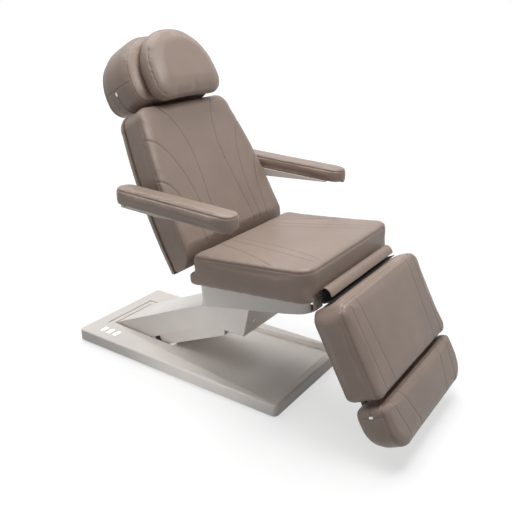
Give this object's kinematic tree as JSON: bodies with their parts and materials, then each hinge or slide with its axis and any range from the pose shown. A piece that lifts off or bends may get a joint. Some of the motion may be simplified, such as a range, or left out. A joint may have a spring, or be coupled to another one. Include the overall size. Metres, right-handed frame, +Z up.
{
  "type": "treatment bed",
  "caption": "Powered treatment bed with a moulded base, covered lift arm, seat, reclining back with head rest and arm rests, and a leg rest with a sliding foot end.",
  "frame": {"origin": "on the floor under the middle of the whole bed's box", "axes": "+X towards the foot end, +Z up, -Y the side with the light windows"},
  "size_m": [1.5658, 0.822, 1.3414],
  "materials": {
    "white_shell": "satin moulded shell",
    "taupe_leather": "soft grained leatherette",
    "plywood": "raw plywood",
    "light_window": "frosted diffuser",
    "black_plastic": "moulded",
    "rubber": "matt",
    "motor_housing": "textured",
    "bright_steel": "bright",
    "black_steel": "powder coat"
  },
  "bodies": {
    "base": {"base_cover": "white_shell", "base_light_windows": "light_window", "mains_inlet": "black_plastic", "base_frame": "black_steel", "rubber_feet": "rubber", "pivot_bracket": "black_steel", "arm_lower_pin": "bright_steel", "link_lower_pin": "bright_steel"},
    "lift_arm": {"lift_arm_bars": "black_steel", "arm_upper_cover": "white_shell"},
    "lift_link": {"lift_link_bars": "black_steel", "arm_lower_tray": "white_shell"},
    "seat": {"lift_head_bracket": "black_steel", "arm_upper_pin": "bright_steel", "link_upper_pin": "bright_steel", "lift_head_cover": "white_shell", "head_cover_screws": "bright_steel", "seat_frame": "black_steel", "back_hinge_pin": "bright_steel", "leg_hinge_pin": "bright_steel", "seat_board": "plywood", "seat_pan": "white_shell", "seat_cushion": "taupe_leather", "gap_flap": "taupe_leather"},
    "back": {"back_cushion": "taupe_leather", "back_shell": "taupe_leather", "back_frame": "black_steel"},
    "head_post": {"head_posts": "bright_steel"},
    "head_rest": {"head_bracket": "black_steel", "head_cushion": "taupe_leather", "neck_pillow": "taupe_leather"},
    "arm_left": {"arm_pad_left": "taupe_leather", "arm_cover_left": "white_shell"},
    "arm_right": {"arm_pad_right": "taupe_leather", "arm_cover_right": "white_shell"},
    "leg": {"leg_cushion": "taupe_leather", "leg_board": "plywood", "leg_frame": "black_steel", "foot_guides": "black_steel"},
    "foot": {"foot_slide": "black_steel", "foot_cushion": "taupe_leather"},
    "lift_motor": {"lift_motor": "motor_housing"},
    "lift_rod": {"lift_rod": "bright_steel"},
    "back_motor": {"back_motor": "motor_housing"},
    "back_rod": {"back_rod": "bright_steel"},
    "leg_motor": {"leg_motor": "motor_housing"},
    "leg_rod": {"leg_rod": "bright_steel"}
  },
  "joints": [
    {"name": "lift", "type": "hinge", "parent": "base", "child": "lift_arm", "pos_m": [-0.579, 0, 0.075], "axis": [0, -1, 0], "range_deg": [0, 28]},
    {"name": "lift_link_swing", "type": "hinge", "parent": "base", "child": "lift_link", "pos_m": [-0.479, 0, 0.03], "axis": [0, -1, 0], "range_deg": [0, 28]},
    {"name": "seat_level", "type": "hinge", "parent": "lift_arm", "child": "seat", "pos_m": [-0.12223, 0, 0.27837], "axis": [0, -1, 0], "range_deg": [-28, 0]},
    {"name": "lift_motor_swing", "type": "hinge", "parent": "base", "child": "lift_motor", "pos_m": [-0.479, 0, 0.03], "axis": [0, -1, 0], "range_deg": [0, 30.2]},
    {"name": "lift_rod_slide", "type": "slide", "parent": "lift_motor", "child": "lift_rod", "axis": [0.8207, 0, 0.5713], "range_m": [0, 0.0505]},
    {"name": "back_recline", "type": "hinge", "parent": "seat", "child": "back", "pos_m": [-0.08624, 0, 0.52704], "axis": [0, -1, 0], "range_deg": [-8, 61.6]},
    {"name": "back_motor_swing", "type": "hinge", "parent": "seat", "child": "back_motor", "pos_m": [0.25427, 0, 0.47385], "axis": [0, -1, 0], "range_deg": [-1, 1]},
    {"name": "back_rod_slide", "type": "slide", "parent": "back_motor", "child": "back_rod", "axis": [-0.9971, 0, -0.0765], "range_m": [-0.095, 0.015]},
    {"name": "leg_raise", "type": "hinge", "parent": "seat", "child": "leg", "pos_m": [0.42667, 0, 0.52028], "axis": [0, -1, 0], "range_deg": [0, 61.7], "deforming": ["gap_flap"]},
    {"name": "leg_motor_swing", "type": "hinge", "parent": "seat", "child": "leg_motor", "pos_m": [0.07536, 0, 0.45393], "axis": [0, -1, 0], "range_deg": [-6, 1]},
    {"name": "leg_rod_slide", "type": "slide", "parent": "leg_motor", "child": "leg_rod", "axis": [0.9928, 0, 0.1195], "range_m": [-0.001, 0.045]},
    {"name": "foot_extend", "type": "slide", "parent": "leg", "child": "foot", "axis": [0.4741, 0, -0.8805], "range_m": [0, 0.04]},
    {"name": "head_height", "type": "slide", "parent": "back", "child": "head_post", "axis": [-0.4756, 0, 0.8796], "range_m": [0, 0.06]},
    {"name": "head_tilt", "type": "hinge", "parent": "head_post", "child": "head_rest", "pos_m": [-0.45369, 0, 1.04683], "axis": [0, -1, 0], "range_deg": [0, 30]},
    {"name": "arm_left_fold", "type": "hinge", "parent": "back", "child": "arm_left", "pos_m": [-0.29673, 0, 0.75655], "axis": [0, -1, 0], "range_deg": [-62, 100]},
    {"name": "arm_right_fold", "type": "hinge", "parent": "back", "child": "arm_right", "pos_m": [-0.29673, 0, 0.75655], "axis": [0, -1, 0], "range_deg": [-62, 100]}
  ],
  "couplings": [
    {"joint": "lift_link_swing", "follows": "lift", "ratio": 1},
    {"joint": "seat_level", "follows": "lift", "ratio": -1},
    {"joint": "lift_motor_swing", "follows": "lift", "ratio": 1.0754},
    {"joint": "lift_rod_slide", "follows": "lift", "m_per_rad": 0.1029},
    {"joint": "back_motor_swing", "follows": "back_recline", "ratio": 0.003},
    {"joint": "back_rod_slide", "follows": "back_recline", "m_per_rad": -0.08391},
    {"joint": "leg_motor_swing", "follows": "leg_raise", "ratio": -0.0803},
    {"joint": "leg_rod_slide", "follows": "leg_raise", "m_per_rad": 0.03933}
  ]
}
